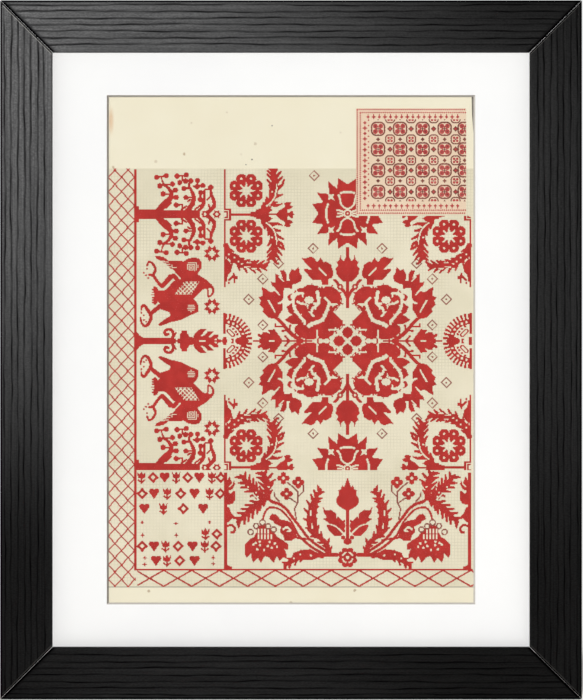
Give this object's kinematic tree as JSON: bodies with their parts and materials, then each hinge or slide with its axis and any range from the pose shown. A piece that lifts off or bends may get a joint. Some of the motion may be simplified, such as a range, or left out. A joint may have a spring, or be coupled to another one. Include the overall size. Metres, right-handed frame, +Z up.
{
  "type": "framed print",
  "caption": "Black stained wood frame with mitred corners, a white bevelled mat and glazing over a red and cream print of a woven coverlet; turn buttons and strap hangers behind.",
  "frame": {"origin": "centre of the wall plane behind the frame, level with the rear faces of the bumpers", "axes": "+Z up, +X to the viewer's right, -Y towards the viewer, +Y into the wall"},
  "size_m": [0.4946, 0.0248, 0.5942],
  "materials": {
    "stained_wood": "black stain rubbed into open grain, satin",
    "clear_glazing": "clear and polished",
    "white_mat": "smooth matt white face with a bevelled window",
    "print_paper": "matt cream paper printed with a red woven pattern",
    "linen_tape": "gummed linen",
    "foam_board": "matt white faces",
    "hardboard": "pressed brown fibre board",
    "zinc_steel": "zinc plated",
    "dark_rubber": "matt"
  },
  "bodies": {
    "frame": {"rail_top": "stained_wood", "rail_bottom": "stained_wood", "rail_left": "stained_wood", "rail_right": "stained_wood", "v_nail_top_left_inner": "zinc_steel", "v_nail_top_left_outer": "zinc_steel", "v_nail_top_right_inner": "zinc_steel", "v_nail_top_right_outer": "zinc_steel", "v_nail_bottom_left_inner": "zinc_steel", "v_nail_bottom_left_outer": "zinc_steel", "v_nail_bottom_right_inner": "zinc_steel", "v_nail_bottom_right_outer": "zinc_steel", "glazing": "clear_glazing", "mat_board": "white_mat", "print_sheet": "print_paper", "hinge_tape_left": "linen_tape", "hinge_tape_right": "linen_tape", "mount_board": "foam_board", "back_panel": "hardboard", "turn_button_top_left_screw": "zinc_steel", "turn_button_bottom_left_screw": "zinc_steel", "turn_button_top_right_screw": "zinc_steel", "turn_button_bottom_right_screw": "zinc_steel", "turn_button_left_upper_screw": "zinc_steel", "turn_button_right_upper_screw": "zinc_steel", "turn_button_left_lower_screw": "zinc_steel", "turn_button_right_lower_screw": "zinc_steel", "hanger_left_strap": "zinc_steel", "hanger_left_screw": "zinc_steel", "hanger_right_strap": "zinc_steel", "hanger_right_screw": "zinc_steel", "bumper_top_left": "dark_rubber", "bumper_top_right": "dark_rubber", "bumper_bottom_left": "dark_rubber", "bumper_bottom_right": "dark_rubber"},
    "turn_button_top_left": {"turn_button_top_left": "zinc_steel"},
    "turn_button_bottom_left": {"turn_button_bottom_left": "zinc_steel"},
    "turn_button_top_right": {"turn_button_top_right": "zinc_steel"},
    "turn_button_bottom_right": {"turn_button_bottom_right": "zinc_steel"},
    "turn_button_left_upper": {"turn_button_left_upper": "zinc_steel"},
    "turn_button_right_upper": {"turn_button_right_upper": "zinc_steel"},
    "turn_button_left_lower": {"turn_button_left_lower": "zinc_steel"},
    "turn_button_right_lower": {"turn_button_right_lower": "zinc_steel"},
    "left_ring": {"hanger_left_ring": "zinc_steel"},
    "right_ring": {"hanger_right_ring": "zinc_steel"}
  },
  "joints": [
    {"name": "turn_button_top_left_turn", "type": "hinge", "parent": "frame", "child": "turn_button_top_left", "pos_m": [-0.11774, -0.00415, 0.2673], "axis": [0, 1, 0], "continuous": true},
    {"name": "turn_button_bottom_left_turn", "type": "hinge", "parent": "frame", "child": "turn_button_bottom_left", "pos_m": [-0.11774, -0.00415, -0.2673], "axis": [0, 1, 0], "continuous": true},
    {"name": "turn_button_top_right_turn", "type": "hinge", "parent": "frame", "child": "turn_button_top_right", "pos_m": [0.11774, -0.00415, 0.2673], "axis": [0, 1, 0], "continuous": true},
    {"name": "turn_button_bottom_right_turn", "type": "hinge", "parent": "frame", "child": "turn_button_bottom_right", "pos_m": [0.11774, -0.00415, -0.2673], "axis": [0, 1, 0], "continuous": true},
    {"name": "turn_button_left_upper_turn", "type": "hinge", "parent": "frame", "child": "turn_button_left_upper", "pos_m": [-0.2175, -0.00415, 0.14662], "axis": [0, 1, 0], "continuous": true},
    {"name": "turn_button_right_upper_turn", "type": "hinge", "parent": "frame", "child": "turn_button_right_upper", "pos_m": [0.2175, -0.00415, 0.14662], "axis": [0, 1, 0], "continuous": true},
    {"name": "turn_button_left_lower_turn", "type": "hinge", "parent": "frame", "child": "turn_button_left_lower", "pos_m": [-0.2175, -0.00415, -0.14662], "axis": [0, 1, 0], "continuous": true},
    {"name": "turn_button_right_lower_turn", "type": "hinge", "parent": "frame", "child": "turn_button_right_lower", "pos_m": [0.2175, -0.00415, -0.14662], "axis": [0, 1, 0], "continuous": true},
    {"name": "left_ring_swing", "type": "hinge", "parent": "frame", "child": "left_ring", "pos_m": [-0.22815, -0.0025, 0.09903], "axis": [1, 0, 0], "range_deg": [0, 180]},
    {"name": "right_ring_swing", "type": "hinge", "parent": "frame", "child": "right_ring", "pos_m": [0.22815, -0.0025, 0.09903], "axis": [1, 0, 0], "range_deg": [0, 180]}
  ]
}
